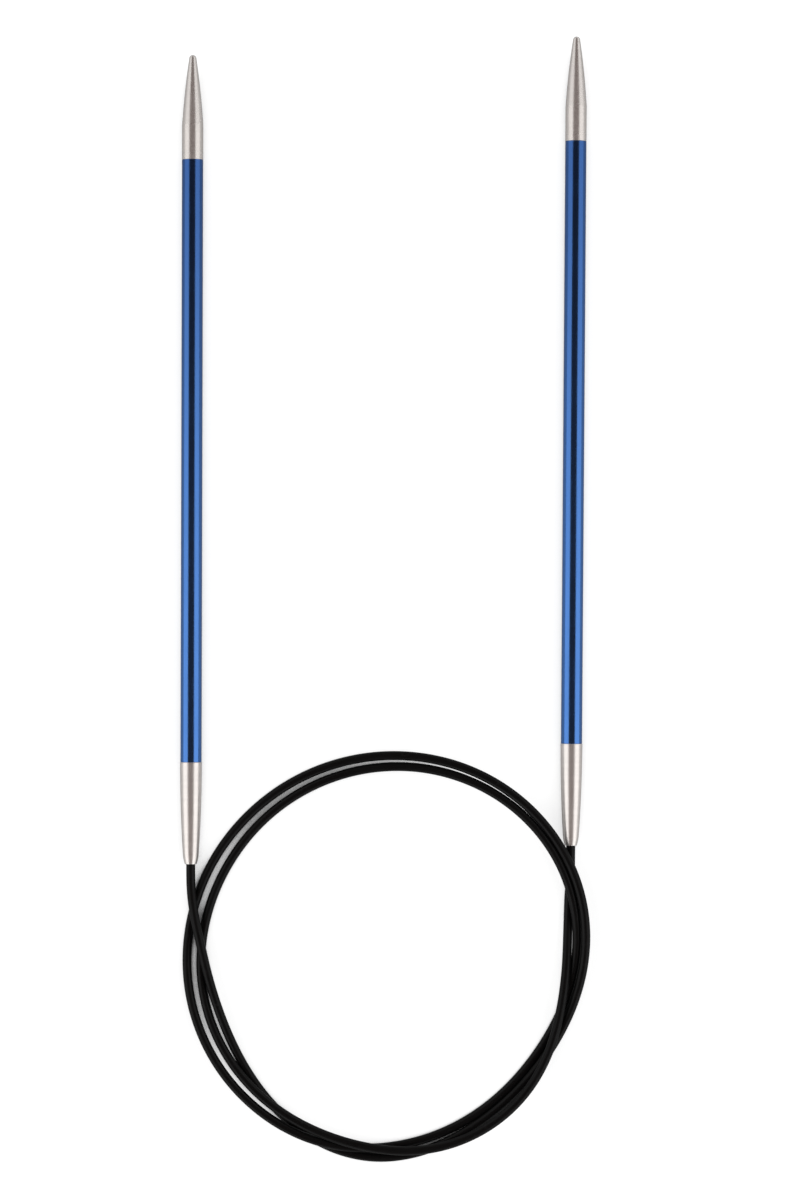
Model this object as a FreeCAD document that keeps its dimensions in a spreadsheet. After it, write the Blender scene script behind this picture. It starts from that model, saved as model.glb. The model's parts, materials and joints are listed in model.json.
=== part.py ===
"""Circular knitting needle, 3.5 mm by 80 cm: two tube needles with turned tips, and a nylon cable between them.

It lies flat, as on a table. Millimetres, +Z up, needle tips towards +Y, cable in a loose coil towards -Y.
The origin is on the table, under the middle of the two needles. The pieces of a needle are drawn along
+Y from the mouth of its ferrule, where the cable comes out, and are then laid in place together.
"""

import FreeCAD
import Part
import Sketcher

import math
import os

from FreeCAD import Placement, Rotation, Vector

# Driving dimensions: name, value, meaning. Lengths are millimetres and angles are degrees.
DIMENSIONS = [
    ("shaft_diameter", 3.5, "needle size: outside of the tube, and full width of the tip"),
    ("shaft_length", 99.6, "tube, from the ferrule's shoulder to the tip's shoulder"),
    ("shaft_wall", 0.4, "wall of the drawn tube"),
    ("shaft_bevel", 0.08, "bevel round the outside of each tube end"),
    ("tip_length", 17.3, "tip, from the tube's end to the point"),
    ("tip_taper_length", 11.6, "stretch over which the tip narrows to its point"),
    ("tip_flank_bulge", 0.085, "how far the taper swells past a straight cone half-way along it"),
    ("tip_nose_radius", 0.6, "rounding of the point"),
    ("tip_shank_length", 6.0, "tip's shank inside the tube"),
    ("press_clearance", 0.01, "radial gap left round each pressed-in shank, plug and crimped cable"),
    ("ferrule_length", 16.8, "ferrule, from its mouth to the tube's end"),
    ("ferrule_step", 0.06, "how far the ferrule's shoulder stands out past the tube, all round"),
    ("ferrule_land_length", 4.7, "stretch that narrows from the shoulder to the tube's width"),
    ("ferrule_flank_bulge", 0.06, "how far the taper swells past a straight cone half-way along it"),
    ("ferrule_nose_length", 1.5, "rounded nose at the mouth"),
    ("ferrule_nose_diameter", 2.6, "end of the taper, where the nose starts"),
    ("ferrule_nose_bulge", 0.045, "how far the nose swells past a straight cone half-way along it"),
    ("ferrule_lip_width", 0.155, "flat rim round the mouth"),
    ("ferrule_shank_length", 7.0, "ferrule's hollow shank inside the tube"),
    ("ferrule_stop_depth", 3.4, "from the mouth to the inner shoulder that holds the sleeve"),
    ("mouth_clearance", 0.08, "radial running gap between the cable and the ferrule's mouth"),
    ("sleeve_length", 8.0, "sleeve crimped on the end of the cable"),
    ("sleeve_wall", 0.275, "wall of the sleeve"),
    ("sleeve_clearance", 0.05, "radial running gap between the sleeve and the ferrule's bore"),
    ("sleeve_crimp_depth", 0.12, "depth of a crimp ring"),
    ("sleeve_crimp_width", 1.0, "width of a crimp ring"),
    ("sleeve_crimp_inset", 1.6, "from each end of the sleeve to the middle of its crimp ring"),
    ("sleeve_end_play", 0.1, "gap along the needle at each end of the sleeve"),
    ("plug_length", 2.0, "plug pressed into the ferrule behind the sleeve"),
    ("cable_diameter", 1.5, "nylon cable"),
    ("cable_stub_length", 0.6, "cable from the ferrule's mouth to where it starts to bend"),
    ("cable_lead_run", 2.8, "cable from there to its first bend"),
    ("left_mouth_x", -31.85, "left needle: mouth of its ferrule"),
    ("left_mouth_y", -68.38, "left needle: mouth of its ferrule"),
    ("left_lean", -0.15, "left needle: turn from +Y, counter-clockwise from above"),
    ("right_mouth_x", 30.96, "right needle: mouth of its ferrule"),
    ("right_mouth_y", -65.32, "right needle: mouth of its ferrule"),
    ("right_lean", -0.42, "right needle: turn from +Y, counter-clockwise from above"),
    ("coil_outer_radius", 33.8, "outline of the coiled cable, outside"),
    ("coil_outer_x", 0.42, "middle of that outline"),
    ("coil_outer_y", -83.36, "middle of that outline"),
    ("coil_inner_radius", 29.6, "outline of the coiled cable, inside"),
    ("coil_inner_x", 0.86, "middle of that outline"),
    ("coil_inner_y", -83.11, "middle of that outline"),
    ("coil_height", 3.9, "top of the loose turns above the table, where they cross"),
    ("coil_edge_radius", 1.3, "rounding of the coil's four edges"),
]

# Free ends of the cable, to where each lies among the turns. Each leaves its needle straight for the
# length of cable_lead_run, and these are its points after that. The left end passes over the turns,
# and the right end drops to the table and passes under them.
LEAD_POINTS = {
    "left": [(-31.55, -74.9, 2.06), (-31.02, -78.0, 2.15)],
    "right": [(30.87, -71.3, 1.3), (30.66, -74.0, 0.86)],
}
ARC_SHARE = 0.45  # share of the shorter run that each bend of a free end takes up

SHAFT_RADIUS = "dims.shaft_diameter / 2"
SHAFT_BORE_RADIUS = "(dims.shaft_diameter / 2 - dims.shaft_wall)"
SHANK_RADIUS = f"({SHAFT_BORE_RADIUS} - dims.press_clearance)"
SHAFT_START = "dims.ferrule_length"
SHAFT_END = "(dims.ferrule_length + dims.shaft_length)"
TIP_END = f"({SHAFT_END} + dims.tip_length)"
CABLE_RADIUS = "dims.cable_diameter / 2"
MOUTH_RADIUS = "(dims.cable_diameter / 2 + dims.mouth_clearance)"
LIP_RADIUS = f"({MOUTH_RADIUS} + dims.ferrule_lip_width)"
SLEEVE_INSIDE = "(dims.cable_diameter / 2 + dims.press_clearance)"
SLEEVE_RADIUS = f"({SLEEVE_INSIDE} + dims.sleeve_wall)"
SLEEVE_BORE_RADIUS = f"({SLEEVE_RADIUS} + dims.sleeve_clearance)"
SLEEVE_START = "(dims.ferrule_stop_depth + dims.sleeve_end_play)"
SLEEVE_END = f"({SLEEVE_START} + dims.sleeve_length)"
SHOULDER_RADIUS = "(dims.shaft_diameter / 2 + dims.ferrule_step)"

os.makedirs("parts", exist_ok=True)
doc = FreeCAD.newDocument("circular_knitting_needle")

sheet = doc.addObject("Spreadsheet::Sheet", "dims")
for row, (name, value, meaning) in enumerate(DIMENSIONS, start=1):
    sheet.set(f"A{row}", meaning)
    sheet.set(f"B{row}", str(value))
    sheet.setAlias(f"B{row}", name)
doc.recompute()

sub_parts = []


def value_of(expression):
    """Number that an expression on the sheet has now."""
    return float(sheet.evalExpression(expression.replace("dims.", "")))


def new_body(label):
    """Empty PartDesign body for one sub-part."""
    body = doc.addObject("PartDesign::Body", label)
    body.Label = label
    sub_parts.append(body)
    return body


def origin_feature(body, role):
    """Origin plane or axis of a body, by its role."""
    return next(f for f in body.Origin.OriginFeatures if f.Role == role)


def table_sketch(body, name):
    """Sketch on the body's own XY plane."""
    sketch = body.newObject("Sketcher::SketchObject", name)
    sketch.AttachmentSupport = [(origin_feature(body, "XY_Plane"), "")]
    sketch.MapMode = "FlatFace"
    return sketch


def bind_length(sketch, kind, geometry, expression, label):
    """Adds a dimension to a sketch and ties it to the sheet."""
    index = sketch.addConstraint(Sketcher.Constraint(kind, *geometry, value_of(expression)))
    sketch.renameConstraint(index, label)
    sketch.setExpression(f"Constraints.{label}", expression)


def bind_point(sketch, geometry, vertex, corner, label):
    """Holds a sketch point at (distance from the axis, distance along it)."""
    x, y = corner
    if x == "0":
        sketch.addConstraint(Sketcher.Constraint("PointOnObject", geometry, vertex, -2))
    else:
        bind_length(sketch, "DistanceX", (-1, 1, geometry, vertex), x, f"{label}_radius")
    if y == "0":
        sketch.addConstraint(Sketcher.Constraint("PointOnObject", geometry, vertex, -1))
    else:
        bind_length(sketch, "DistanceY", (-1, 1, geometry, vertex), y, f"{label}_along")


def turned(body, legs):
    """Solid of revolution about the body's Y axis.

    Each leg is (corner, via): the outline goes from corner to the next leg's corner, straight, or along the
    arc through via where that is given.
    """
    sketch = table_sketch(body, f"{body.Label}_outline")
    corners = [corner for corner, _ in legs]
    points = [Vector(value_of(x), value_of(y), 0) for x, y in corners]
    starts = []
    for index, (_, via) in enumerate(legs):
        start, end = points[index], points[(index + 1) % len(legs)]
        if via is None:
            line = sketch.addGeometry(Part.LineSegment(start, end), False)
            starts.append((line, 1, 2))
            continue
        middle = Vector(value_of(via[0]), value_of(via[1]), 0)
        arc = sketch.addGeometry(Part.Arc(start, middle, end), False)
        # A sketch stores an arc counter-clockwise, so its first vertex may be the leg's end.
        flipped = (sketch.getPoint(arc, 1) - start).Length > (sketch.getPoint(arc, 2) - start).Length
        starts.append((arc, 2, 1) if flipped else (arc, 1, 2))
    for index, (geometry, first, last) in enumerate(starts):
        following, following_first, _ = starts[(index + 1) % len(starts)]
        sketch.addConstraint(Sketcher.Constraint("Coincident", geometry, last, following, following_first))
        bind_point(sketch, geometry, first, corners[index], f"corner{index}")
    for index, (_, via) in enumerate(legs):
        if via is None:
            continue
        marker = sketch.addGeometry(Part.Point(Vector(value_of(via[0]), value_of(via[1]), 0)), True)
        bind_point(sketch, marker, 1, via, f"via{index}")
        sketch.addConstraint(Sketcher.Constraint("PointOnObject", marker, 1, starts[index][0]))
    revolution = body.newObject("PartDesign::Revolution", f"{body.Label}_turning")
    revolution.Profile = sketch
    revolution.ReferenceAxis = (sketch, ["V_Axis"])
    revolution.Angle = 360
    return revolution


def straight(*corners):
    """Legs of an outline that has no arcs."""
    return [(corner, None) for corner in corners]


def lay(body, side, setback="0"):
    """Lays a needle's piece in place: at its mouth, less a setback along the needle, with its lean."""
    lean = f"dims.{side}_lean * 1 deg"
    body.Placement = Placement(Vector(0, 0, 0), Rotation(Vector(0, 0, 1), 1))
    body.setExpression("Placement.Rotation.Angle", lean)
    body.setExpression("Placement.Base.x", f"(dims.{side}_mouth_x + {setback} * sin({lean})) * 1 mm")
    body.setExpression("Placement.Base.y", f"(dims.{side}_mouth_y - {setback} * cos({lean})) * 1 mm")
    body.setExpression("Placement.Base.z", f"{SHOULDER_RADIUS} * 1 mm")


def shaft_tube(side):
    """Drawn tube, bevelled round both ends."""
    body = new_body(f"{side}_shaft_tube")
    bevelled_radius = f"({SHAFT_RADIUS} - dims.shaft_bevel)"
    turned(body, straight(
        (SHAFT_BORE_RADIUS, SHAFT_START),
        (bevelled_radius, SHAFT_START),
        (SHAFT_RADIUS, f"{SHAFT_START} + dims.shaft_bevel"),
        (SHAFT_RADIUS, f"{SHAFT_END} - dims.shaft_bevel"),
        (bevelled_radius, SHAFT_END),
        (SHAFT_BORE_RADIUS, SHAFT_END),
    ))
    lay(body, side)


def tip(side):
    """Turned tip: long curved taper, rounded point, and a shank pressed into the tube."""
    body = new_body(f"{side}_tip")
    nose_base = ("dims.tip_nose_radius", f"{TIP_END} - dims.tip_nose_radius")
    cone = f"({SHAFT_RADIUS} + dims.tip_nose_radius) / 2"
    flank = (f"{cone} + dims.tip_flank_bulge", f"{TIP_END} - dims.tip_taper_length / 2")
    slant = math.sqrt(0.5)
    nose = (f"dims.tip_nose_radius * {slant}", f"{TIP_END} - dims.tip_nose_radius * (1 - {slant})")
    shank_end = f"{SHAFT_END} - dims.tip_shank_length"
    turned(body, [
        (("0", shank_end), None),
        ((SHANK_RADIUS, shank_end), None),
        ((SHANK_RADIUS, SHAFT_END), None),
        ((SHAFT_RADIUS, SHAFT_END), None),
        ((SHAFT_RADIUS, f"{TIP_END} - dims.tip_taper_length"), flank),
        (nose_base, nose),
        (("0", TIP_END), None),
    ])
    lay(body, side)


def ferrule(side):
    """Tapered end piece: shank in the tube, bore for the cable's sleeve, and a narrow mouth."""
    body = new_body(f"{side}_ferrule")
    shank_end = f"{SHAFT_START} + dims.ferrule_shank_length"
    land_start = "(dims.ferrule_length - dims.ferrule_land_length)"
    nose_radius = "dims.ferrule_nose_diameter / 2"
    flank_cone = f"({SHAFT_RADIUS} + {nose_radius}) / 2"
    flank = (f"{flank_cone} + dims.ferrule_flank_bulge", f"({land_start} + dims.ferrule_nose_length) / 2")
    nose_cone = f"({LIP_RADIUS} + {nose_radius}) / 2"
    nose = (f"{nose_cone} + dims.ferrule_nose_bulge", "dims.ferrule_nose_length / 2")
    turned(body, [
        ((MOUTH_RADIUS, "0"), None),
        ((LIP_RADIUS, "0"), nose),
        ((nose_radius, "dims.ferrule_nose_length"), flank),
        ((SHAFT_RADIUS, land_start), None),
        ((SHOULDER_RADIUS, SHAFT_START), None),
        ((SHANK_RADIUS, SHAFT_START), None),
        ((SHANK_RADIUS, shank_end), None),
        ((SLEEVE_BORE_RADIUS, shank_end), None),
        ((SLEEVE_BORE_RADIUS, "dims.ferrule_stop_depth"), None),
        ((MOUTH_RADIUS, "dims.ferrule_stop_depth"), None),
    ])
    lay(body, side)


def retaining_plug(side):
    """Plug pressed into the ferrule behind the sleeve, so that the cable can't slide up the needle."""
    body = new_body(f"{side}_retaining_plug")
    start = f"({SLEEVE_END} + dims.sleeve_end_play)"
    radius = f"({SLEEVE_BORE_RADIUS} - dims.press_clearance)"
    turned(body, straight(
        ("0", start),
        (radius, start),
        (radius, f"{start} + dims.plug_length"),
        ("0", f"{start} + dims.plug_length"),
    ))
    lay(body, side)


def cable_sleeve(side):
    """Sleeve crimped on the cable's end with two rings. It turns in the ferrule's bore."""
    body = new_body(f"{side}_cable_sleeve")
    start = f"({SLEEVE_START} + dims.cable_stub_length)"
    end = f"({SLEEVE_END} + dims.cable_stub_length)"
    waist = f"({SLEEVE_RADIUS} - dims.sleeve_crimp_depth)"
    half_ring = "dims.sleeve_crimp_width / 2"
    near = f"{start} + dims.sleeve_crimp_inset"
    far = f"{end} - dims.sleeve_crimp_inset"
    turned(body, [
        ((SLEEVE_INSIDE, start), None),
        ((SLEEVE_RADIUS, start), None),
        ((SLEEVE_RADIUS, f"{near} - {half_ring}"), (waist, near)),
        ((SLEEVE_RADIUS, f"{near} + {half_ring}"), None),
        ((SLEEVE_RADIUS, f"{far} - {half_ring}"), (waist, far)),
        ((SLEEVE_RADIUS, f"{far} + {half_ring}"), None),
        ((SLEEVE_RADIUS, end), None),
        ((SLEEVE_INSIDE, end), None),
    ])
    lay(body, side, "dims.cable_stub_length")


def cable_end(side):
    """End of the cable, straight inside the sleeve and the ferrule, up to where it starts to bend."""
    body = new_body(f"{side}_cable_end")
    length = f"{SLEEVE_END} + dims.cable_stub_length"
    turned(body, straight(
        ("0", "0"),
        (CABLE_RADIUS, "0"),
        (CABLE_RADIUS, length),
        ("0", length),
    ))
    lay(body, side, "dims.cable_stub_length")


def rounded_route(points):
    """Wire of straight runs joined by tangent arcs, with the arcs' radii."""
    edges = []
    radii = []
    start = points[0]
    for before, corner, after in zip(points, points[1:], points[2:]):
        arriving = (corner - before).normalize()
        leaving = (after - corner).normalize()
        turn = arriving.getAngle(leaving)
        cut = ARC_SHARE * min((corner - before).Length, (after - corner).Length)
        radius = cut / math.tan(turn / 2)
        arc_start = corner - arriving * cut
        arc_end = corner + leaving * cut
        inward = (leaving - arriving).normalize()
        middle = corner + inward * (radius / math.cos(turn / 2) - radius)
        edges.append(Part.LineSegment(start, arc_start).toShape())
        edges.append(Part.Arc(arc_start, middle, arc_end).toShape())
        radii.append(radius)
        start = arc_end
    edges.append(Part.LineSegment(start, points[-1]).toShape())
    return Part.Wire(edges), radii


def cable_lead(side):
    """Free end of the cable, from its bend at the ferrule to the coil."""
    radius = value_of(CABLE_RADIUS)
    lean = math.radians(value_of(f"dims.{side}_lean"))
    away = Vector(math.sin(lean), -math.cos(lean), 0)
    mouth_x, mouth_y = (value_of(f"dims.{side}_mouth_{letter}") for letter in "xy")
    first = Vector(mouth_x, mouth_y, value_of(SHOULDER_RADIUS)) + away * value_of("dims.cable_stub_length")
    second = first + away * value_of("dims.cable_lead_run")
    points = [first, second] + [Vector(*point) for point in LEAD_POINTS[side]]
    route, radii = rounded_route(points)
    section = Part.Wire(Part.makeCircle(radius, first, away))
    tube = route.makePipeShell([section], True, False)
    feature = doc.addObject("Part::Feature", f"{side}_cable_lead")
    feature.Label = f"{side}_cable_lead"
    feature.Shape = tube
    feature.Placement = Placement()
    sub_parts.append(feature)
    expected = math.pi * radius**2 * route.Length
    bends = ", ".join(f"{bend:.0f}" for bend in radii)
    print(f"{feature.Label}: bends {bends} mm, volume {tube.Volume:.2f} of {expected:.2f} mm3")


def cable_coil():
    """Outer shape of the coiled cable: a low ring, wider at the sides where the turns fan out."""
    body = new_body("cable_coil")
    sketch = table_sketch(body, "cable_coil_outline")
    for edge in ("outer", "inner"):
        x, y, radius = (f"dims.coil_{edge}_{word}" for word in ("x", "y", "radius"))
        centre = Vector(value_of(x), value_of(y), 0)
        circle = sketch.addGeometry(Part.Circle(centre, Vector(0, 0, 1), value_of(radius)), False)
        bind_length(sketch, "Radius", (circle,), radius, f"{edge}_radius")
        bind_length(sketch, "DistanceX", (-1, 1, circle, 3), x, f"{edge}_x")
        bind_length(sketch, "DistanceY", (-1, 1, circle, 3), y, f"{edge}_y")
    pad = body.newObject("PartDesign::Pad", "cable_coil_height")
    pad.Profile = sketch
    pad.setExpression("Length", "dims.coil_height")
    doc.recompute()
    rounding = body.newObject("PartDesign::Fillet", "cable_coil_rounding")
    rims = [
        f"Edge{number}"
        for number, edge in enumerate(pad.Shape.Edges, start=1)
        if isinstance(edge.Curve, Part.Circle)
    ]
    rounding.Base = (pad, rims)
    rounding.setExpression("Radius", "dims.coil_edge_radius")


for side in ("left", "right"):
    tip(side)
    shaft_tube(side)
    ferrule(side)
    retaining_plug(side)
    cable_sleeve(side)
    cable_end(side)
    cable_lead(side)
cable_coil()
doc.recompute()

for item in doc.Objects:
    if "Invalid" in item.State or "Error" in item.State:
        raise RuntimeError(f"{item.Label} failed: {item.State}")
for sub_part in sub_parts:
    shape = sub_part.Shape
    if shape.isNull() or not shape.isValid() or len(shape.Solids) != 1:
        raise RuntimeError(f"{sub_part.Label} isn't one sound solid")
    shape.exportStep(f"parts/{sub_part.Label}.step")
    print(f"{sub_part.Label}: {shape.Volume:.2f} mm3")
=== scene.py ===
"""Circular knitting needle laid on a pale table: two blue tube needles joined by a black nylon cable.

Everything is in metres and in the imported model's own frame: +Z up, needle tips towards +Y, the cable in a
loose coil towards -Y. The solid pieces come with the frame and get their finishes here. The cable is one
smooth curve, and the short tail of cable that turns in each needle's mouth is a surface of revolution.
"""

import json
import logging
import math
from dataclasses import dataclass, field
from enum import Enum

import bpy
import numpy as np
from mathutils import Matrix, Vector


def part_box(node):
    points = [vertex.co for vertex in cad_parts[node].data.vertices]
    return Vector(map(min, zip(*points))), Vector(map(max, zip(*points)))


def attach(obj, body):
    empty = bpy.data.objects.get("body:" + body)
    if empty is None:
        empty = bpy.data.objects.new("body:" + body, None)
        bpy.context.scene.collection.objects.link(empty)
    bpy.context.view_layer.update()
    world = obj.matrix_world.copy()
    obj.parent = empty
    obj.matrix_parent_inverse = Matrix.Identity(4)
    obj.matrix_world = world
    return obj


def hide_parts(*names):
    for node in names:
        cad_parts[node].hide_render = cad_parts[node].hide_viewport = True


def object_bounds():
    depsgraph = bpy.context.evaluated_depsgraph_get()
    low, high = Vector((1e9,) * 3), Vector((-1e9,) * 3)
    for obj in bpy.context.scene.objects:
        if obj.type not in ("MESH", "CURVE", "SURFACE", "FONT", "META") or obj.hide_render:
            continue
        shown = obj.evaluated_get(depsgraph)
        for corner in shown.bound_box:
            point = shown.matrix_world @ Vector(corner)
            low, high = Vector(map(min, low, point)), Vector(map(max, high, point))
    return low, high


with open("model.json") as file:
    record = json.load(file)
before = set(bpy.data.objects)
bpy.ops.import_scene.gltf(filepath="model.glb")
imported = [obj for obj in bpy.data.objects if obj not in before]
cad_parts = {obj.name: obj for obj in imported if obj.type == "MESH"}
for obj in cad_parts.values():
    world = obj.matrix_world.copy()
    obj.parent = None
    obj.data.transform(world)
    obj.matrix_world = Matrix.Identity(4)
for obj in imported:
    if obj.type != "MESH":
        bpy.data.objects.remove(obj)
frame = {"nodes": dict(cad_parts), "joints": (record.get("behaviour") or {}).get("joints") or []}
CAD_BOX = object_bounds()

log = logging.getLogger("circular_needle")
MM = 0.001

Array = np.ndarray
Color = tuple[float, float, float]
Triple = tuple[float, float, float]
Socket = bpy.types.NodeSocket


class Side(Enum):
    """The two needles, named as they lie."""

    LEFT = "left"
    RIGHT = "right"


class Grain(Enum):
    """How a metal surface was made, which sets the way its fine marks run."""

    TURNED = "turned"
    DRAWN = "drawn"


# ---------------------------------------------------------------------------------------------------------
# Where the needles lie
# ---------------------------------------------------------------------------------------------------------


@dataclass(frozen=True)
class NeedleLine:
    """A needle's axis.

    Attributes:
        side: which needle it is.
        bend: the point just outside the ferrule's mouth where the cable starts to bend.
        along: unit vector from the mouth towards the tip.
    """

    side: Side
    bend: Vector
    along: Vector

    @classmethod
    def from_frame(cls, side: Side) -> "NeedleLine":
        """Read one needle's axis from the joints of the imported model.

        Args:
            side: which needle.

        Returns:
            Its bend point and direction.
        """
        joints = {joint["name"]: joint for joint in frame["joints"]}
        bend = Vector(joints[f"{side.value}_cable_bend"]["pos_m"])
        along = Vector(joints[f"{side.value}_needle_swivel"]["axis"]).normalized()
        return cls(side, bend, along)

    @property
    def lean(self) -> float:
        """Turn of the needle from +Y, counter-clockwise from above, in radians."""
        return math.atan2(-self.along.x, self.along.y)

    def span_of(self, node: str) -> tuple[float, float]:
        """Where a piece starts and ends along the needle.

        Args:
            node: the piece.

        Returns:
            The distances of its two ends from the bend point, in metres.
        """
        return tuple((corner.y - self.bend.y) * self.along.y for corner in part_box(node))


# ---------------------------------------------------------------------------------------------------------
# Surfaces
# ---------------------------------------------------------------------------------------------------------


def link_mesh(name: str, points: Array, faces: list[tuple[int, ...]]) -> bpy.types.Object:
    """Make an object at the origin from points and faces.

    Args:
        name: the piece's name.
        points: vertex positions, in metres, one row each.
        faces: vertex numbers of each face, counter-clockwise from outside.

    Returns:
        The linked object, smooth shaded.
    """
    mesh = bpy.data.meshes.new(name)
    mesh.from_pydata(points.tolist(), [], faces)
    mesh.polygons.foreach_set("use_smooth", np.ones(len(mesh.polygons), dtype=bool))
    mesh.update()
    piece = bpy.data.objects.new(name, mesh)
    bpy.context.scene.collection.objects.link(piece)
    return piece


def revolved(
    name: str, start: Vector, along: Vector, stations: Array, radii: Array, segments: int
) -> bpy.types.Object:
    """Turn a profile about an axis into a closed shell.

    A point of the surface is the start, plus its station times the axis, plus its radius times the unit
    circle square to the axis. The shell closes in one point on the axis at each end.

    Args:
        name: the piece's name.
        start: origin of the stations on the axis.
        along: unit vector of the axis.
        stations: distances along the axis, rising, the first and last being the closing points.
        radii: radius at each station; the first and last are taken as zero.
        segments: number of facets round the axis.

    Returns:
        The piece.
    """
    side = along.cross(Vector((0, 0, 1))).normalized()
    up = side.cross(along)
    turn = np.arange(segments) * (2 * np.pi / segments)
    circle = np.outer(np.cos(turn), np.array(side)) + np.outer(np.sin(turn), np.array(up))
    centres = np.array(start) + np.outer(stations, np.array(along))
    rings = centres[1:-1, None, :] + radii[1:-1, None, None] * circle[None, :, :]
    points = np.vstack([centres[:1], rings.reshape(-1, 3), centres[-1:]])
    ring, facet = np.meshgrid(np.arange(len(stations) - 3), np.arange(segments), indexing="ij")
    here = 1 + ring * segments + facet
    across = 1 + ring * segments + (facet + 1) % segments
    quads = np.stack([here, here + segments, across + segments, across], axis=-1).reshape(-1, 4)
    first = 1 + np.arange(segments)
    first_next = 1 + (np.arange(segments) + 1) % segments
    last = (len(stations) - 3) * segments
    caps = np.vstack([
        np.stack([np.zeros(segments, int), first, first_next], axis=-1),
        np.stack([np.full(segments, len(points) - 1), first_next + last, first + last], axis=-1),
    ])
    return link_mesh(name, points, [tuple(face) for face in quads.tolist() + caps.tolist()])


# ---------------------------------------------------------------------------------------------------------
# Node sketching, and the marks that several finishes share
# ---------------------------------------------------------------------------------------------------------


@dataclass
class Sketch:
    """A node tree with short ways to add and join its nodes.

    Attributes:
        tree: the node tree.
    """

    tree: bpy.types.NodeTree

    def add(self, kind: str, **settings: object) -> bpy.types.Node:
        """Add a node.

        Args:
            kind: the node's type, without its ShaderNode prefix.
            settings: the node's own settings.

        Returns:
            The node.
        """
        node = self.tree.nodes.new(f"ShaderNode{kind}")
        for name, value in settings.items():
            setattr(node, name, value)
        return node

    def join(self, source: Socket | float, target: Socket) -> None:
        """Link a socket to another, or write a number into it."""
        if isinstance(source, Socket):
            self.tree.links.new(source, target)
        else:
            target.default_value = source

    def math(self, operation: str, *values: Socket | float, clamp: bool = False) -> Socket:
        """Work out one number from others.

        Args:
            operation: the Math node's operation.
            values: its inputs, sockets or numbers.
            clamp: whether the result stays between 0 and 1.

        Returns:
            The result's socket.
        """
        node = self.add("Math", operation=operation, use_clamp=clamp)
        for value, socket in zip(values, node.inputs):
            self.join(value, socket)
        return node.outputs[0]

    def ramp(
        self, value: Socket, low: float, high: float, out_low: float = 0.0, out_high: float = 1.0
    ) -> Socket:
        """Spread a value smoothly from one range to another, and hold it at the ends.

        Args:
            value: what is spread.
            low: where the result is out_low.
            high: where the result is out_high.
            out_low: result at and before low.
            out_high: result at and past high.

        Returns:
            The result's socket.
        """
        node = self.add("MapRange", interpolation_type="SMOOTHSTEP")
        for source, socket in zip((value, low, high, out_low, out_high), node.inputs):
            self.join(source, socket)
        return node.outputs[0]

    def blend(self, share: Socket, first: Socket | Color, second: Socket | Color) -> Socket:
        """Mix two colours.

        Args:
            share: 0 gives the first colour and 1 the second.
            first: a colour or its socket.
            second: a colour or its socket.

        Returns:
            The mixed colour's socket.
        """
        node = self.add("Mix", data_type="RGBA")
        self.join(share, node.inputs[0])
        for colour, socket in ((first, node.inputs[6]), (second, node.inputs[7])):
            self.join(colour if isinstance(colour, Socket) else (*colour, 1.0), socket)
        return node.outputs[2]

    def noise(
        self, vector: Socket, scale: Socket | float, detail: float = 3.0, roughness: float = 0.55
    ) -> Socket:
        """Add smooth noise.

        Args:
            vector: position.
            scale: repeats to the metre.
            detail: how many finer layers it has.
            roughness: how strong the finer layers are.

        Returns:
            The noise's socket, a value of about 0 to 1.
        """
        node = self.add("TexNoise")
        self.join(vector, node.inputs["Vector"])
        self.join(scale, node.inputs["Scale"])
        node.inputs["Detail"].default_value = detail
        node.inputs["Roughness"].default_value = roughness
        return node.outputs[0]

    def stretched(self, vector: Socket, scale: Triple) -> Socket:
        """Multiply a position by a factor for each axis."""
        node = self.add("VectorMath", operation="MULTIPLY")
        self.join(vector, node.inputs[0])
        node.inputs[1].default_value = scale
        return node.outputs[0]

    def weighed(self, first: Socket, second: Socket, share: float) -> Socket:
        """Add two values, the first with this share and the second with the rest."""
        rest = self.math("MULTIPLY", second, 1.0 - share)
        return self.math("ADD", self.math("MULTIPLY", first, share), rest)


def new_group(
    name: str, inputs: dict[str, str], outputs: list[str]
) -> tuple[Sketch, bpy.types.Node, bpy.types.Node]:
    """Start a shader node group.

    Args:
        name: the group's name.
        inputs: type of each input socket, Vector or Float, by name.
        outputs: names of its outputs, all single values.

    Returns:
        The sketch of its tree, its input node and its output node.
    """
    tree = bpy.data.node_groups.new(name, "ShaderNodeTree")
    for socket, kind in inputs.items():
        tree.interface.new_socket(socket, in_out="INPUT", socket_type=f"NodeSocket{kind}")
    for socket in outputs:
        tree.interface.new_socket(socket, in_out="OUTPUT", socket_type="NodeSocketFloat")
    return Sketch(tree), tree.nodes.new("NodeGroupInput"), tree.nodes.new("NodeGroupOutput")


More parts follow.
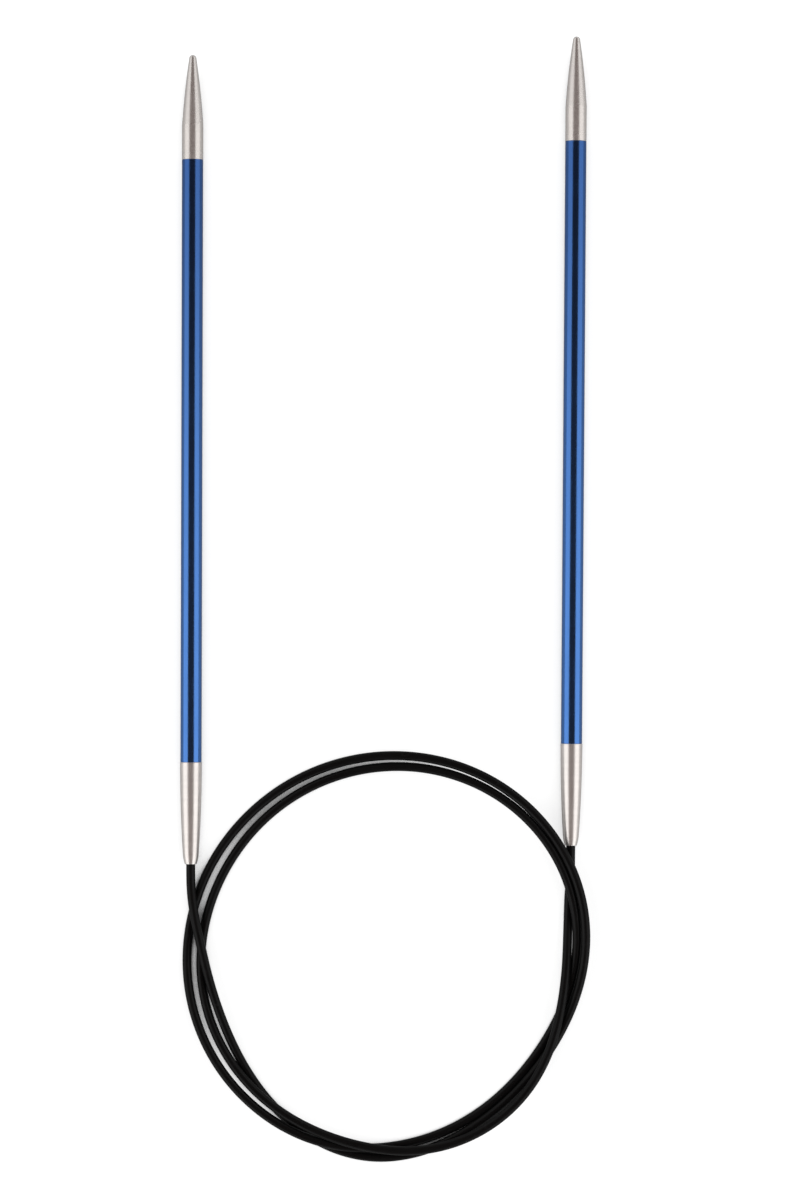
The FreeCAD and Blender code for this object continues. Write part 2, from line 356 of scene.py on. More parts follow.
class Marks:
    """Node groups for the fine marks that more than one finish carries. Each is built once.

    PER_METRE is a mark's repeats to the metre, and ALONG and ACROSS say how much the noise changes in that
    direction, against 1 in the other. SHARE is how much of the height the finer marks make up.
    """

    RINGS_PER_METRE = 9000.0
    RING_BANDS_PER_METRE = 1400.0
    RINGS_ACROSS = 0.02
    RING_BANDS_ACROSS = 0.05
    RINGS_SHARE = 0.45
    LINES_PER_METRE = 5200.0
    LINE_BANDS_PER_METRE = 1300.0
    LINES_ALONG = 0.012
    LINE_BANDS_ALONG = 0.03
    LINES_SHARE = 0.6
    TONE_RANGE = (0.3, 0.7)
    PATCH_RANGE = (0.34, 0.68)
    PATCH_DETAIL = 4.0
    CHIPS_PER_METRE = 2600.0
    CHIP_DEPTH = 0.9
    WORN_RANGE = (0.45, 1.45)

    def __init__(self) -> None:
        """Build the four groups."""
        self.turning = self._turning()
        self.drawing = self._drawing()
        self.handling = self._handling()
        self.rims = self._rims()

    def _turning(self) -> bpy.types.NodeTree:
        """Rings left by a lathe: noise that changes along the axis only, in two sizes.

        Returns:
            A group with a Position input and the outputs Height and Tone.
        """
        sketch, given, made = new_group("lathe rings", {"Position": "Vector"}, ["Height", "Tone"])
        position = given.outputs["Position"]
        thin, broad = self.RINGS_ACROSS, self.RING_BANDS_ACROSS
        rings = sketch.noise(sketch.stretched(position, (thin, 1.0, thin)), self.RINGS_PER_METRE, 1.0)
        bands = sketch.noise(sketch.stretched(position, (broad, 1.0, broad)), self.RING_BANDS_PER_METRE, 2.0)
        sketch.join(sketch.weighed(rings, bands, self.RINGS_SHARE), made.inputs["Height"])
        sketch.join(sketch.ramp(bands, *self.TONE_RANGE), made.inputs["Tone"])
        return sketch.tree

    def _drawing(self) -> bpy.types.NodeTree:
        """Lines left by drawing a tube through its die: noise that hardly changes along the axis.

        Returns:
            A group with a Position input and the outputs Height and Tone.
        """
        sketch, given, made = new_group("drawn lines", {"Position": "Vector"}, ["Height", "Tone"])
        position = given.outputs["Position"]
        thin, broad = self.LINES_ALONG, self.LINE_BANDS_ALONG
        lines = sketch.noise(sketch.stretched(position, (1.0, thin, 1.0)), self.LINES_PER_METRE, 2.0)
        bands = sketch.noise(sketch.stretched(position, (1.0, broad, 1.0)), self.LINE_BANDS_PER_METRE, 2.0)
        sketch.join(sketch.weighed(lines, bands, self.LINES_SHARE), made.inputs["Height"])
        sketch.join(sketch.ramp(bands, *self.TONE_RANGE), made.inputs["Tone"])
        return sketch.tree

    def _handling(self) -> bpy.types.NodeTree:
        """Soft patches where fingers and yarn have polished or dulled a surface.

        Returns:
            A group with the inputs Position and Size, in repeats to the metre, and the output Patch.
        """
        inputs = {"Position": "Vector", "Size": "Float"}
        sketch, given, made = new_group("handling patches", inputs, ["Patch"])
        patches = sketch.noise(given.outputs["Position"], given.outputs["Size"], self.PATCH_DETAIL, 0.5)
        sketch.join(sketch.ramp(patches, *self.PATCH_RANGE), made.inputs["Patch"])
        return sketch.tree

    def _rims(self) -> bpy.types.NodeTree:
        """Worn rims: 1 at a piece's two ends, fading inwards, and broken up by fine noise.

        Returns:
            A group with the inputs Position, Start, End and Width and the output Worn.
        """
        inputs = {"Position": "Vector", "Start": "Float", "End": "Float", "Width": "Float"}
        sketch, given, made = new_group("worn rims", inputs, ["Worn"])
        split = sketch.add("SeparateXYZ")
        sketch.join(given.outputs["Position"], split.inputs[0])
        along = split.outputs["Y"]
        from_start = sketch.math("ABSOLUTE", sketch.math("SUBTRACT", along, given.outputs["Start"]))
        from_end = sketch.math("ABSOLUTE", sketch.math("SUBTRACT", along, given.outputs["End"]))
        nearest = sketch.math("DIVIDE", sketch.math("MINIMUM", from_start, from_end), given.outputs["Width"])
        chips = sketch.noise(given.outputs["Position"], self.CHIPS_PER_METRE)
        ragged = sketch.math("ADD", nearest, sketch.math("MULTIPLY", chips, self.CHIP_DEPTH))
        sketch.join(sketch.ramp(ragged, *self.WORN_RANGE, 1.0, 0.0), made.inputs["Worn"])
        return sketch.tree

    @staticmethod
    def place(sketch: Sketch, group: bpy.types.NodeTree, **values: Socket | float) -> bpy.types.Node:
        """Put one of the groups into a material.

        Args:
            sketch: the material's tree.
            group: the group.
            values: what goes into its inputs, by name.

        Returns:
            The group's node.
        """
        node = sketch.add("Group", node_tree=group)
        for name, value in values.items():
            sketch.join(value, node.inputs[name])
        return node


# ---------------------------------------------------------------------------------------------------------
# Finishes
# ---------------------------------------------------------------------------------------------------------


def start_material(name: str) -> tuple[bpy.types.Material, Sketch, bpy.types.Node]:
    """Make a material with a Principled shader.

    Args:
        name: the material's name.

    Returns:
        The material, the sketch of its tree, and the shader.
    """
    material = bpy.data.materials.new(name)
    material.use_nodes = True
    sketch = Sketch(material.node_tree)
    shader = material.node_tree.nodes["Principled BSDF"]
    return material, sketch, shader


def needle_position(sketch: Sketch, line: NeedleLine) -> Socket:
    """Position on a needle, with Y along its axis from the bend point and X and Z across it.

    Args:
        sketch: the material's tree.
        line: the needle's axis.

    Returns:
        The position's socket, in metres.
    """
    mapping = sketch.add("Mapping", vector_type="TEXTURE")
    mapping.inputs["Location"].default_value = line.bend
    mapping.inputs["Rotation"].default_value = (0.0, 0.0, line.lean)
    sketch.join(sketch.add("TexCoord").outputs["Object"], mapping.inputs["Vector"])
    return mapping.outputs[0]


def add_bump(sketch: Sketch, shader: bpy.types.Node, height: Socket, depth: float, strength: float) -> None:
    """Give a shader fine relief.

    Args:
        sketch: the material's tree.
        shader: the Principled shader.
        height: 0 to 1.
        depth: what a height of 1 stands for, in metres.
        strength: how much of it shows, 0 to 1.
    """
    bump = sketch.add("Bump")
    bump.inputs["Strength"].default_value = strength
    bump.inputs["Distance"].default_value = depth
    sketch.join(height, bump.inputs["Height"])
    sketch.join(bump.outputs[0], shader.inputs["Normal"])


@dataclass(frozen=True)
class MetalFinish:
    """A metal surface of a needle.

    Attributes:
        name: what it is called.
        colour: its reflected colour near the mouth.
        far_shade_colour: its reflected colour at the tip's end of the piece, darker as painted shade of the
            light falling off towards the tips; the first colour fades into it.
        rim_colour: colour of the worn rims.
        roughness: how much it blurs what it reflects, where polished and where dulled.
        grain: how its marks run.
        mark_depth: depth of its marks, in metres.
        rim_width: how far the wear reaches in from each end, in metres.
        metallic: share of the light that it mirrors rather than scatters.
        coat: share of a clear layer over it.
        coat_roughness: how much that layer blurs what it reflects.
        falloff_range: where that painted shade starts and ends, as shares of the piece's length.
        dark_tone: how dark the darkest of its marks are, as a share of its colour.
        tone_share: how much of that darkening shows.
        worn_share: how much of the wear shows.
        mark_strength: how much of the marks' depth shows.
        patch_scale: handling patches to the metre.
    """

    name: str
    colour: Color
    far_shade_colour: Color
    rim_colour: Color
    roughness: tuple[float, float]
    grain: Grain
    mark_depth: float
    rim_width: float
    metallic: float = 1.0
    coat: float = 0.0
    coat_roughness: float = 0.2
    falloff_range: tuple[float, float] = (0.3, 1.1)
    dark_tone: float = 0.72
    tone_share: float = 0.16
    worn_share: float = 0.75
    mark_strength: float = 0.35
    patch_scale: float = 210.0

    def make(self, marks: Marks, line: NeedleLine, node: str) -> bpy.types.Material:
        """Build the material for one piece of a needle.

        Args:
            marks: the shared groups.
            line: the needle's axis.
            node: the piece, whose ends bound the wear and the painted shade towards the tip.

        Returns:
            The material.
        """
        material, sketch, shader = start_material(f"{line.side.value} {self.name}")
        position = needle_position(sketch, line)
        start, end = line.span_of(node)
        grain = marks.place(
            sketch, marks.turning if self.grain is Grain.TURNED else marks.drawing, Position=position
        )
        patch = marks.place(sketch, marks.handling, Position=position, Size=self.patch_scale)
        worn = marks.place(sketch, marks.rims, Position=position, Start=start, End=end, Width=self.rim_width)
        split = sketch.add("SeparateXYZ")
        sketch.join(position, split.inputs[0])
        # Painted shade: the colour darkens along the piece towards the tip, standing in for the light falling
        # off there.
        falloff_start, falloff_end = (start + share * (end - start) for share in self.falloff_range)
        painted_falloff = sketch.ramp(split.outputs["Y"], falloff_start, falloff_end)
        body = sketch.blend(painted_falloff, self.colour, self.far_shade_colour)
        shading = sketch.math("MULTIPLY", grain.outputs["Tone"], self.tone_share)
        marked = sketch.blend(shading, body, tuple(self.dark_tone * part for part in self.colour))
        wear = sketch.math("MULTIPLY", worn.outputs["Worn"], self.worn_share)
        sketch.join(sketch.blend(wear, marked, self.rim_colour), shader.inputs["Base Color"])
        handled = sketch.ramp(patch.outputs["Patch"], 0.0, 1.0, *self.roughness)
        sketch.join(handled, shader.inputs["Roughness"])
        shader.inputs["Metallic"].default_value = self.metallic
        shader.inputs["Coat Weight"].default_value = self.coat
        shader.inputs["Coat Roughness"].default_value = self.coat_roughness
        add_bump(sketch, shader, grain.outputs["Height"], self.mark_depth, self.mark_strength)
        return material


@dataclass(frozen=True)
class NylonFinish:
    """A moulded or extruded nylon surface.

    Attributes:
        name: what it is called.
        colour: its own colour.
        scuff_colour: colour of faint scuffs.
        roughness: how much it blurs what it reflects, where polished and where dulled.
        gloss: strength of its reflection, as the shader's specular level.
        speckle_depth: depth of its fine unevenness, in metres.
        speckle_scale: that unevenness's repeats to the metre.
        speckle_strength: how much of that depth shows.
        patch_scale: handling patches to the metre.
        scuff_scale: scuffs to the metre.
        scuff_range: noise at which a scuff starts, and at which it is full.
        scuff_share: how much of the scuffs' colour shows.
        scuff_dulling: how much rougher a scuff is.
    """

    name: str
    colour: Color
    scuff_colour: Color
    roughness: tuple[float, float]
    gloss: float
    speckle_depth: float
    speckle_scale: float = 4200.0
    speckle_strength: float = 0.4
    patch_scale: float = 130.0
    scuff_scale: float = 900.0
    scuff_range: tuple[float, float] = (0.58, 0.74)
    scuff_share: float = 0.5
    scuff_dulling: float = 0.08

    def make(self, marks: Marks) -> bpy.types.Material:
        """Build the material.

        Args:
            marks: the shared groups.

        Returns:
            The material.
        """
        material, sketch, shader = start_material(self.name)
        position = sketch.add("TexCoord").outputs["Object"]
        patch = marks.place(sketch, marks.handling, Position=position, Size=self.patch_scale)
        speckle = sketch.noise(position, self.speckle_scale)
        scuffs = sketch.ramp(sketch.noise(position, self.scuff_scale, 5.0, 0.7), *self.scuff_range)
        shown = sketch.math("MULTIPLY", scuffs, self.scuff_share)
        sketch.join(sketch.blend(shown, self.colour, self.scuff_colour), shader.inputs["Base Color"])
        handled = sketch.ramp(patch.outputs["Patch"], 0.0, 1.0, *self.roughness)
        dulled = sketch.math("ADD", handled, sketch.math("MULTIPLY", scuffs, self.scuff_dulling))
        sketch.join(dulled, shader.inputs["Roughness"])
        shader.inputs["Specular IOR Level"].default_value = self.gloss
        add_bump(sketch, shader, speckle, self.speckle_depth, self.speckle_strength)
        return material


BLUE_ANODISING = MetalFinish(
    name="blue anodising",
    colour=(0.100, 0.270, 0.72),
    # Much darker at the tip's end: painted shade of the light falling off towards the tips.
    far_shade_colour=(0.062, 0.165, 0.48),
    rim_colour=(0.30, 0.42, 0.66),
    roughness=(0.17, 0.22),
    grain=Grain.DRAWN,
    mark_depth=0.0012 * MM,
    rim_width=0.18 * MM,
    metallic=0.965,
    coat=0.10,
)
SATIN_NICKEL = MetalFinish(
    name="satin nickel",
    # A little darker at the tip's end: painted shade of the light falling off towards the tips.
    colour=(0.93, 0.87, 0.83),
    far_shade_colour=(0.90, 0.85, 0.82),
    rim_colour=(0.97, 0.94, 0.92),
    roughness=(0.25, 0.29),
    grain=Grain.TURNED,
    mark_depth=0.0008 * MM,
    rim_width=0.25 * MM,
    metallic=0.86,
)
BRIGHT_NICKEL = MetalFinish(
    name="bright nickel",
    colour=(0.99, 0.93, 0.89),
    far_shade_colour=(0.99, 0.93, 0.89),
    rim_colour=(0.98, 0.95, 0.93),
    roughness=(0.29, 0.33),
    grain=Grain.TURNED,
    mark_depth=0.0004 * MM,
    rim_width=0.3 * MM,
    metallic=0.86,
)
SLEEVE_BRASS = MetalFinish(
    name="sleeve brass",
    colour=(0.80, 0.62, 0.30),
    far_shade_colour=(0.80, 0.62, 0.30),
    rim_colour=(0.86, 0.72, 0.44),
    roughness=(0.24, 0.36),
    grain=Grain.DRAWN,
    mark_depth=0.002 * MM,
    rim_width=0.3 * MM,
)
BLACK_NYLON = NylonFinish(
    name="black nylon",
    colour=(0.0032, 0.0030, 0.0030),
    scuff_colour=(0.009, 0.0085, 0.0085),
    roughness=(0.26, 0.36),
    gloss=0.15,
    speckle_depth=0.002 * MM,
)
PLUG_NYLON = NylonFinish(
    name="natural nylon",
    colour=(0.62, 0.60, 0.54),
    scuff_colour=(0.50, 0.48, 0.43),
    roughness=(0.42, 0.52),
    gloss=0.5,
    speckle_depth=0.004 * MM,
)


def dress(node: str, material: bpy.types.Material) -> None:
    """Give a piece that came with the frame its material, in every slot."""
    for slot in frame["nodes"][node].material_slots:
        slot.material = material


# ---------------------------------------------------------------------------------------------------------
# The view, the table and the light
# ---------------------------------------------------------------------------------------------------------


def polished_rays(sketch: Sketch, rays: bpy.types.Node) -> Socket:
    """Pick out the rays that polished and clear surfaces send.

    Args:
        sketch: the tree.
        rays: its Light Path node.

    Returns:
        A socket that is 1 for those rays and 0 for the rest.
    """
    return sketch.math("ADD", rays.outputs["Is Glossy Ray"], rays.outputs["Is Transmission Ray"], clamp=True)


@dataclass
class Overhead:
    """The camera, straight above the object and turned with the picture's top towards +Y.

    Attributes:
        frame_height: long side of the picture at the height of the needles, in metres.
        height: camera's height above the needles' axes, in metres.
        shift_right: how far the picture's middle lies right of the object's middle, in metres.
        shift_up: how far it lies above the object's middle, in metres.
        sensor: long side of the sensor, in millimetres.
        nearest: how close to the camera things are still seen, in metres.
    """

    frame_height: float = 198.35 * MM
    height: float = 0.75
    shift_right: float = 2.19 * MM
    shift_up: float = -0.37 * MM
    sensor: float = 36.0
    nearest: float = 0.01

    def build(self) -> None:
        """Make the camera and let the scene look through it."""
        low, high = CAD_BOX
        middle = (low + high) / 2
        lens = bpy.data.cameras.new("overhead camera")
        lens.sensor_width = self.sensor
        lens.lens = self.sensor * self.height / self.frame_height
        lens.clip_start = self.nearest
        camera = bpy.data.objects.new("overhead camera", lens)
        axis_height = NeedleLine.from_frame(Side.LEFT).bend.z
        camera.location = (middle.x + self.shift_right, middle.y + self.shift_up, axis_height + self.height)
        bpy.context.scene.collection.objects.link(camera)
        bpy.context.scene.camera = camera


@dataclass
class Studio:
    """A grey table in a white tent, whose roof is open to a dark ceiling, with a soft lamp each side.

    The table adds its own light to what falls on it, so that it looks white, except in narrow gaps, where
    that light is taken away as painted shade.

    Attributes:
        table_reach: half the table's width, in metres.
        table_below: gap between the table and the object, in metres.
        table_greys: darkest and lightest grey of the table.
        table_patches: patches of those greys to the metre.
        table_roughness: how much the table blurs what it reflects.
        table_own_light: light that the open table adds to what falls on it, to come out white.
        table_mirrored: share of that light which a polished surface shows, as the table lies in its shade.
        shade_reach: how close something has to be to the table to take its own light away as painted shade,
            in metres.
        shade_range: open share of the sky at which that light is gone, and at which it is whole.
        shade_samples: how finely the open share of the sky is sampled.
        tent_level: brightness of the tent's walls in a polished surface.
        tent_far_level: share of that brightness which is left at the tips' end.
        tent_dimming: Y of the direction at which that dimming starts and ends.
        roof_slope: half-width of the open roof over its height.
        roof_edge: how far inside and outside that slope the roof's edge fades.
        roof_colour: what a polished surface shows of the ceiling.
        ambient: light that the tent gives to unpolished surfaces.
        backdrop: what the camera sees past the table.
        lamp_size: width and length of each lamp, in metres.
        lamp_place: sideways, lengthways and up, from the object's middle, in metres.
        lamp_power: power of each lamp, in watts.
    """

    table_reach: float = 4.0
    table_below: float = 0.02 * MM
    table_greys: tuple[float, float] = (0.27, 0.29)
    table_patches: float = 60.0
    table_roughness: float = 0.9
    table_own_light: float = 0.78
    table_mirrored: float = 0.03
    shade_reach: float = 2.4 * MM
    shade_range: tuple[float, float] = (0.30, 0.60)
    shade_samples: int = 8
    tent_level: float = 1.08
    tent_far_level: float = 0.62
    tent_dimming: tuple[float, float] = (-0.07, 0.15)
    roof_slope: float = 0.67
    roof_edge: tuple[float, float] = (-0.05, 0.06)
    roof_colour: Color = (0.040, 0.013, 0.006)
    ambient: float = 0.38
    backdrop: float = 0.9
    lamp_size: tuple[float, float] = (1.1, 2.2)
    lamp_place: Triple = (1.1, -0.1, 0.95)
    lamp_power: float = 21.0

    def build(self) -> None:
        """Make the table, the tent and the lamps, and set how colours are shown."""
        bpy.context.scene.view_settings.view_transform = "Standard"
        self._table()
        self._tent()
        for side, way in ((Side.LEFT, -1.0), (Side.RIGHT, 1.0)):
            self._lamp(side, way)

    def _table(self) -> None:
        """Make the table: a flat square a hair under the object, with light of its own."""
        reach = self.table_reach
        height = CAD_BOX[0].z - self.table_below
        signs = ((-1, -1), (1, -1), (1, 1), (-1, 1))
        corners = np.array([(x * reach, y * reach, height) for x, y in signs])
        table = link_mesh("table", corners, [(0, 1, 2, 3)])
        material, sketch, shader = start_material("grey table")
        position = sketch.add("TexCoord").outputs["Object"]
        grain = sketch.noise(position, self.table_patches, 4.0)
        dark, light = ((grey, grey, grey) for grey in self.table_greys)
        sketch.join(sketch.blend(grain, dark, light), shader.inputs["Base Color"])
        shader.inputs["Roughness"].default_value = self.table_roughness
        shader.inputs["Specular IOR Level"].default_value = 0.0
        rays = sketch.add("LightPath")
        mirrored = sketch.math("MULTIPLY", polished_rays(sketch, rays), self.table_mirrored)
        seen = sketch.math("ADD", rays.outputs["Is Camera Ray"], mirrored, clamp=True)
        shader.inputs["Emission Color"].default_value = (1.0, 1.0, 1.0, 1.0)
        # Painted shade: the table's own light fades where nearby strands and needles close off its sky,
        # darkening the gaps between them.
        shade = sketch.add("AmbientOcclusion", samples=self.shade_samples)
        shade.inputs["Distance"].default_value = self.shade_reach
        unshaded = sketch.ramp(shade.outputs["AO"], *self.shade_range)
        own_light = sketch.math("MULTIPLY", unshaded, self.table_own_light)
        sketch.join(sketch.math("MULTIPLY", seen, own_light), shader.inputs["Emission Strength"])
        table.data.materials.append(material)

    def _tent(self) -> None:
        """Make the light from all round: white walls that dim towards the tips, and the roof's dark wedge."""
        world = bpy.data.worlds.new("white tent")
        bpy.context.scene.world = world
        world.use_nodes = True
        sketch = Sketch(world.node_tree)
        background = world.node_tree.nodes["Background"]
        split = sketch.add("SeparateXYZ")
        sketch.join(sketch.add("TexCoord").outputs["Generated"], split.inputs[0])
        roof_half = sketch.math("MULTIPLY", split.outputs["Z"], self.roof_slope)
        beside_roof = sketch.math("SUBTRACT", sketch.math("ABSOLUTE", split.outputs["X"]), roof_half)
        roof = sketch.ramp(beside_roof, *self.roof_edge, 1.0, 0.0)
        level = sketch.ramp(
            split.outputs["Y"], *self.tent_dimming, self.tent_level, self.tent_level * self.tent_far_level
        )
        walls = sketch.add("CombineColor")
        for socket in walls.inputs[:3]:
            sketch.join(level, socket)
        mirrored = sketch.blend(roof, walls.outputs[0], self.roof_colour)
        rays = sketch.add("LightPath")
        plain = sketch.blend(polished_rays(sketch, rays), (self.ambient,) * 3, mirrored)
        shown = sketch.blend(rays.outputs["Is Camera Ray"], plain, (self.backdrop,) * 3)
        sketch.join(shown, background.inputs["Color"])

    def _lamp(self, side: Side, way: float) -> None:
        """A soft lamp beside the object, aimed at its middle.

        Args:
            side: which side it stands on.
            way: -1 for the left and 1 for the right.
        """
        low, high = CAD_BOX
        middle = (low + high) / 2
        light = bpy.data.lights.new(f"{side.value} soft lamp", "AREA")
        light.shape = "RECTANGLE"
        light.size, light.size_y = self.lamp_size
        light.energy = self.lamp_power
        lamp = bpy.data.objects.new(light.name, light)
        away, lengthways, up = self.lamp_place
        lamp.location = (middle.x + way * away, middle.y + lengthways, middle.z + up)
        lamp.rotation_euler = (0.0, way * math.atan2(away, up), 0.0)
        lamp.visible_glossy = False
        lamp.visible_camera = False
        bpy.context.scene.collection.objects.link(lamp)


# ---------------------------------------------------------------------------------------------------------
# The cable
# ---------------------------------------------------------------------------------------------------------


@dataclass
class Cable:
    """The nylon cable between the two ferrules, wound twice and a half into a loose ring.

    It leaves the left mouth, passes over the two strands on the left, runs counter-clockwise as seen from
    above, and ends under the two strands on the right, where it rises to the right mouth. Each turn is a
    little different from the next, and the strands cross in long low humps.

    The ring's radii and heights are fitted values, one of each for every point: no rule gives them.

    Attributes:
        length: cable between the two bend points, in metres; not used.
        straight_run: stretch that follows the needle's axis at each end, in metres.
        left_points: route after the left straight run, in metres.
        right_points: route before the right straight run, in metres.
        middle: middle of the ring, from above, in metres.
        first_angle: turn of the ring's first point from +X, in degrees.
        step: turn from each point of the ring to the next, in degrees.
        radii: distance of each point of the ring from its middle, in millimetres.
        heights: height of each point of the ring, in millimetres.
        smoothness: how finely the curve is divided, along it and round it.
    """

    length: float = 0.533
    straight_run: float = 2.8 * MM
    left_points: tuple[Triple, ...] = ((-0.03155, -0.0749, 0.0022), (-0.03102, -0.0780, 0.00247))
    right_points: tuple[Triple, ...] = ((0.03066, -0.0740, 0.0010), (0.03087, -0.0713, 0.00126))
    middle: tuple[float, float] = (0.000544, -0.08375)
    first_angle: float = 177.0
    step: float = 10.0
    radii: tuple[float, ...] = (
        30.68, 29.64, 29.18, 29.25, 29.76, 30.58, 31.57, 32.54, 33.27, 33.48, 33.08, 32.33,
        31.64, 31.18, 30.97, 31.05, 31.40, 31.96, 32.63, 33.26, 33.74, 34.04, 34.17, 34.18,
        34.08, 33.91, 33.68, 33.45, 33.24, 33.06, 32.92, 32.83, 32.81, 32.85, 32.93, 33.03,
        33.14, 33.24, 33.30, 33.29, 33.23, 33.11, 32.95, 32.70, 32.29, 31.75, 31.18, 30.67,
        30.22, 29.85, 29.64, 29.68, 30.03, 30.59, 31.22, 31.82, 32.30, 32.60, 32.71, 32.65,
        32.48, 32.23, 31.94, 31.62, 31.31, 31.03, 30.80, 30.62, 30.49, 30.43, 30.48, 30.61,
        30.80, 30.97, 31.08, 31.12, 31.10, 31.06, 31.01, 31.03, 31.24, 31.70, 32.27, 32.65,
        32.73, 32.55, 32.07, 31.31, 30.47, 29.89, 29.76, 30.15,
    )
    heights: tuple[float, ...] = (
        2.50, 2.35, 2.07, 1.73, 1.38, 1.08, 0.86, 0.76, 0.76, 0.85, 1.01, 1.19,
        1.35, 1.45, 1.48, 1.52, 1.69, 2.03, 2.44, 2.83, 3.10, 3.15, 3.15, 3.03,
        2.83, 2.58, 2.29, 2.00, 1.71, 1.44, 1.21, 1.03, 0.89, 0.80, 0.76, 0.76,
        0.89, 1.14, 1.46, 1.81, 2.13, 2.37, 2.46, 2.36, 1.99, 1.54, 1.19, 0.95,
        0.80, 0.76, 0.76, 0.76, 0.84, 1.05, 1.45, 2.03, 2.55, 2.74, 2.72, 2.59,
        2.40, 2.17, 1.91, 1.65, 1.41, 1.20, 1.02, 0.88, 0.80, 0.76, 0.76, 0.81,
        0.95, 1.19, 1.51, 1.88, 2.25, 2.59, 2.85, 3.05, 3.15, 3.15, 3.15, 3.14,
        3.14, 3.15, 3.15, 3.14, 2.98, 2.60, 2.03, 1.39,
    )
    smoothness: int = 8

    @staticmethod
    def radius() -> float:
        """Half the width of the cable's end in the left ferrule."""
        low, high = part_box("left_cable_end")
        return round((high.z - low.z) / 2, 5)

    def ring(self) -> Array:
        """Work out the ring's points.

        Each is the ring's middle plus its radius times the unit circle at its angle, at its height.

        Returns:
            The points in order, one row each, in metres.
        """
        angles = np.radians(self.first_angle + self.step * np.arange(len(self.radii)))
        radii = np.array(self.radii) * MM
        return np.stack([
            self.middle[0] + radii * np.cos(angles),
            self.middle[1] + radii * np.sin(angles),
            np.array(self.heights) * MM,
        ], axis=1)

    def route(self, left: NeedleLine, right: NeedleLine) -> Array:
        """List the points that pull the cable's curve along.

        Args:
            left: the left needle's axis.
            right: the right needle's axis.

        Returns:
            The points in order, one row each, in metres.
        """
        return np.vstack([
            left.bend,
            left.bend - self.straight_run * left.along,
            self.left_points,
            self.ring(),
            self.right_points,
            right.bend - self.straight_run * right.along,
            right.bend,
        ])

    def build(self, left: NeedleLine, right: NeedleLine) -> bpy.types.Object:
        """Make the cable as one open curve that stands for its solids.

        Args:
            left: the left needle's axis.
            right: the right needle's axis.

        Returns:
            The cable.
        """
        points = self.route(left, right)
        curve = bpy.data.curves.new("cable", "CURVE")
        curve.dimensions = "3D"
        spline = curve.splines.new("NURBS")
        spline.points.add(len(points) - 1)
        spline.points.foreach_set("co", np.hstack([points, np.ones((len(points), 1))]).ravel())
        spline.points.foreach_set("radius", np.full(len(points), self.radius()))
        spline.order_u = 3
        spline.use_endpoint_u = True
        spline.resolution_u = self.smoothness
        curve.resolution_u = self.smoothness
        curve.bevel_depth = 1.0
        curve.bevel_resolution = self.smoothness
        curve.use_fill_caps = True
        cable = bpy.data.objects.new("cable", curve)
        bpy.context.scene.collection.objects.link(cable)
        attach(cable, "cable")
        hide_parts("cable_coil", "left_cable_lead", "right_cable_lead")
        log.info("cable: %d route points", len(points))
        return cable


# ---------------------------------------------------------------------------------------------------------
# A needle
# ---------------------------------------------------------------------------------------------------------


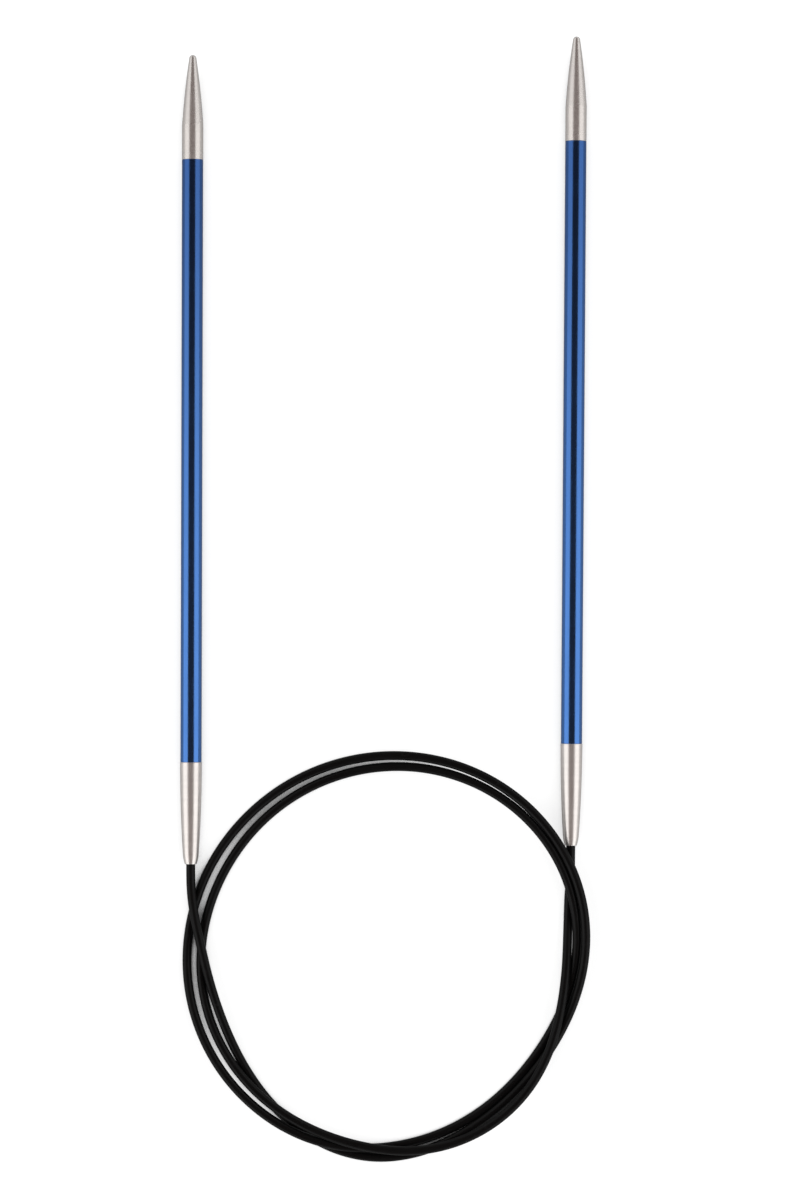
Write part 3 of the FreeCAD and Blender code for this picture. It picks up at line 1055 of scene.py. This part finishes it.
@dataclass
class Needle:
    """One needle: its tip, tube, ferrule and plug, and the crimped cable's end that it swivels on.

    Attributes:
        line: the needle's axis.
        tail_rounding: how rounded the inner end of the cable is, in metres.
        facets: facets round the tail.
        knuckle_rings: rings of points on its round knuckle.
        straight_rings: rings on its straight part.
        edge_rings: rings on its rounded inner edge.
        pieces: the surfaces made for it here, by name.
    """

    line: NeedleLine
    tail_rounding: float = 0.15 * MM
    facets: int = 32
    knuckle_rings: int = 10
    straight_rings: int = 5
    edge_rings: int = 5
    pieces: dict[str, bpy.types.Object] = field(default_factory=dict)

    def build(self) -> None:
        """Make the tail of cable in the mouth, with a round knuckle where it hinges."""
        side = self.line.side.value
        node = f"{side}_cable_end"
        radius = Cable.radius()
        inner = self.line.span_of(node)[1]
        swing = np.linspace(-np.pi / 2, 0.0, self.knuckle_rings)
        knuckle = radius * np.sin(swing)
        edge = np.linspace(0.0, np.pi / 2, self.edge_rings)
        rounding = self.tail_rounding
        straight = np.linspace(0.0, inner - rounding, self.straight_rings + 1)[1:]
        shoulder = inner - rounding + rounding * np.sin(edge)
        stations = np.concatenate([knuckle, straight, shoulder[1:], [inner]])
        radii = np.concatenate([
            radius * np.cos(swing),
            np.full(len(straight), radius),
            radius - rounding + rounding * np.cos(edge[1:]),
            [0.0],
        ])
        tail = revolved(f"{side}_cable_tail", self.line.bend, self.line.along, stations, radii, self.facets)
        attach(tail, f"{side}_cable_end")
        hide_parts(node)
        self.pieces["tail"] = tail

    def dress(self, marks: Marks, nylon: bpy.types.Material) -> None:
        """Give the needle's tip, tube, ferrule, sleeve and cable tail their finishes.

        Args:
            marks: the shared groups.
            nylon: the cable's material.
        """
        side = self.line.side.value
        for part, finish in (
            ("tip", SATIN_NICKEL),
            ("shaft_tube", BLUE_ANODISING),
            ("ferrule", BRIGHT_NICKEL),
            ("cable_sleeve", SLEEVE_BRASS),
        ):
            dress(f"{side}_{part}", finish.make(marks, self.line, f"{side}_{part}"))
            log.info("%s_%s: %s", side, part, finish.name)
        self.pieces["tail"].data.materials.append(nylon)

    def on_cable(self) -> list[bpy.types.Object | str]:
        """The pieces that sit on this end of the cable."""
        return [self.pieces["tail"], f"{self.line.side.value}_cable_sleeve"]


def main() -> None:
    """Build and dress the circular needle, and light it."""
    logging.basicConfig(level=logging.INFO, format="%(name)s: %(message)s")
    Overhead().build()
    left, right = (NeedleLine.from_frame(side) for side in (Side.LEFT, Side.RIGHT))
    cord = Cable()
    cable = cord.build(left, right)
    needles = [Needle(left), Needle(right)]
    for needle in needles:
        needle.build()
        log.info("%s needle: cable tail made", needle.line.side.value)
    [piece for needle in needles for piece in needle.on_cable()]
    marks = Marks()
    nylon = BLACK_NYLON.make(marks)
    plug_nylon = PLUG_NYLON.make(marks)
    cable.data.materials.append(nylon)
    for needle in needles:
        needle.dress(marks, nylon)
        dress(f"{needle.line.side.value}_retaining_plug", plug_nylon)
    for node in ("cable_coil", "left_cable_lead", "right_cable_lead", "left_cable_end", "right_cable_end"):
        dress(node, nylon)
    Studio().build()
    bpy.context.view_layer.update()


if __name__ == "__main__":
    main()
